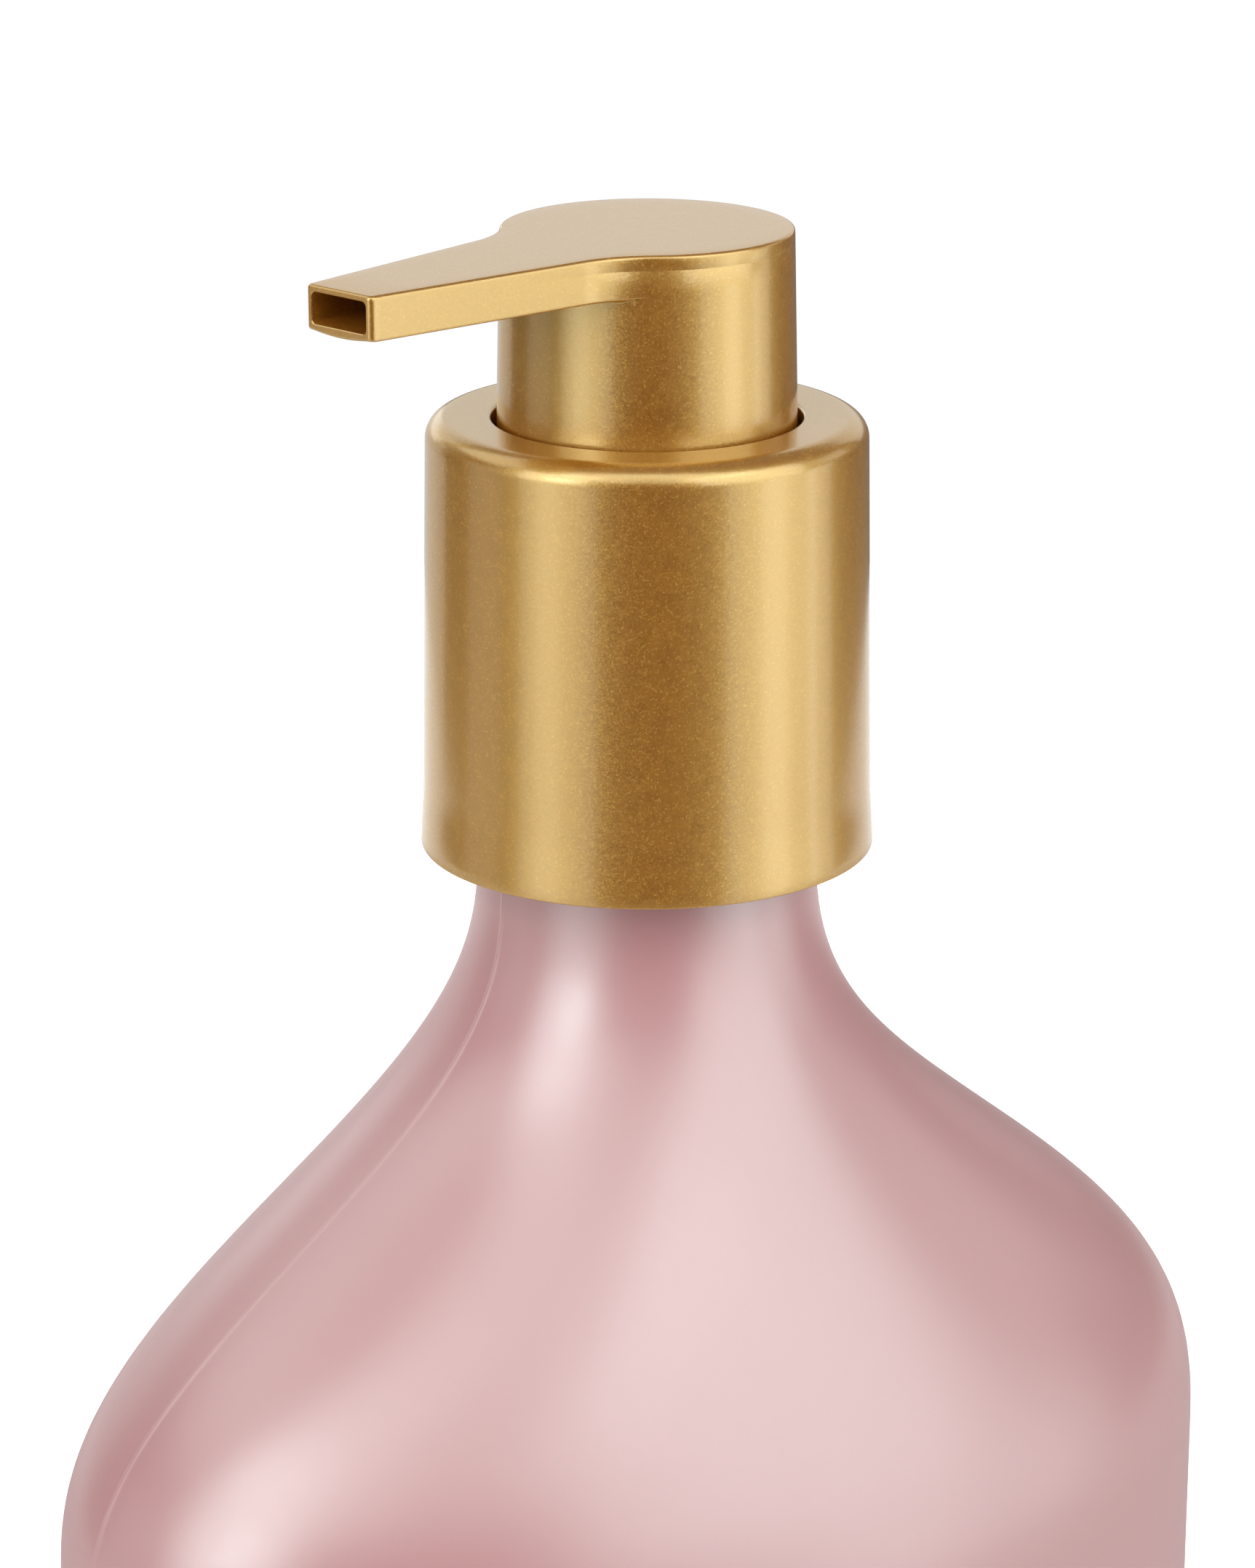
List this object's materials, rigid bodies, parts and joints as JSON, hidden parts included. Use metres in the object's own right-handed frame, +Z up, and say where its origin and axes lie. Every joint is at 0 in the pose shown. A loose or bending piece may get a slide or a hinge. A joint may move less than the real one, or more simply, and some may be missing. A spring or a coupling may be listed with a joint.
{
  "type": "lotion pump dispenser bottle",
  "caption": "Oval flask bottle with a screw-on pump: smooth tall collar, sprung press-down head with a flat spout, cylinder with ball valves and a dip tube.",
  "frame": {"origin": "centre of the bottle's base, on the plane of the flat ring that it stands on", "axes": "+Z up along the pump's axis, X along the long axis of the bottle's oval section with the mould seams at +X and -X, Y across the short axis"},
  "size_m": [0.095, 0.06, 0.1833],
  "materials": {
    "bottle_pink": "satin, frosted pink",
    "gold_coat": "sprayed gold flake, semi-gloss",
    "white_plastic": "moulded",
    "natural_plastic": "milky, uncoloured",
    "soft_white": "soft, slightly waxy",
    "steel": "bright drawn"
  },
  "bodies": {
    "bottle_body": {"bottle": "bottle_pink"},
    "pump_engine": {"pump_housing": "natural_plastic", "chaplet": "white_plastic", "stem_wiper": "soft_white", "neck_gasket": "soft_white", "dip_tube": "natural_plastic", "ball_cage": "white_plastic", "return_spring": "steel"},
    "closure": {"closure_cap": "white_plastic", "collar_shell": "gold_coat"},
    "piston_ring": {"piston": "soft_white"},
    "plunger": {"piston_rod": "white_plastic", "stem": "white_plastic", "actuator_head": "gold_coat"},
    "inlet_valve": {"inlet_ball": "steel"},
    "outlet_valve": {"outlet_ball": "steel"}
  },
  "joints": [
    {"name": "pump_rise", "type": "slide", "parent": "bottle_body", "child": "pump_engine", "axis": [0, 0, 1], "range_m": [0, 0.0085]},
    {"name": "closure_turn", "type": "hinge", "parent": "pump_engine", "child": "closure", "pos_m": [0, 0, 0.138], "axis": [0, 0, 1], "range_deg": [0, 720]},
    {"name": "head_press", "type": "slide", "parent": "pump_engine", "child": "piston_ring", "axis": [0, 0, -1], "range_m": [0, 0.0095], "stiffness_N_per_m": 500, "springref_m": -0.008, "deforming": ["return_spring"]},
    {"name": "head_turn", "type": "hinge", "parent": "piston_ring", "child": "plunger", "pos_m": [0, 0, 0.17], "axis": [0, 0, 1], "continuous": true},
    {"name": "inlet_ball_lift", "type": "slide", "parent": "pump_engine", "child": "inlet_valve", "axis": [0, 0, 1], "range_m": [0, 0.0013]},
    {"name": "outlet_ball_lift", "type": "slide", "parent": "plunger", "child": "outlet_valve", "axis": [0, 0, 1], "range_m": [0, 0.001]}
  ],
  "couplings": [
    {"joint": "pump_rise", "follows": "closure_turn", "m_per_rad": 0.0006737}
  ]
}
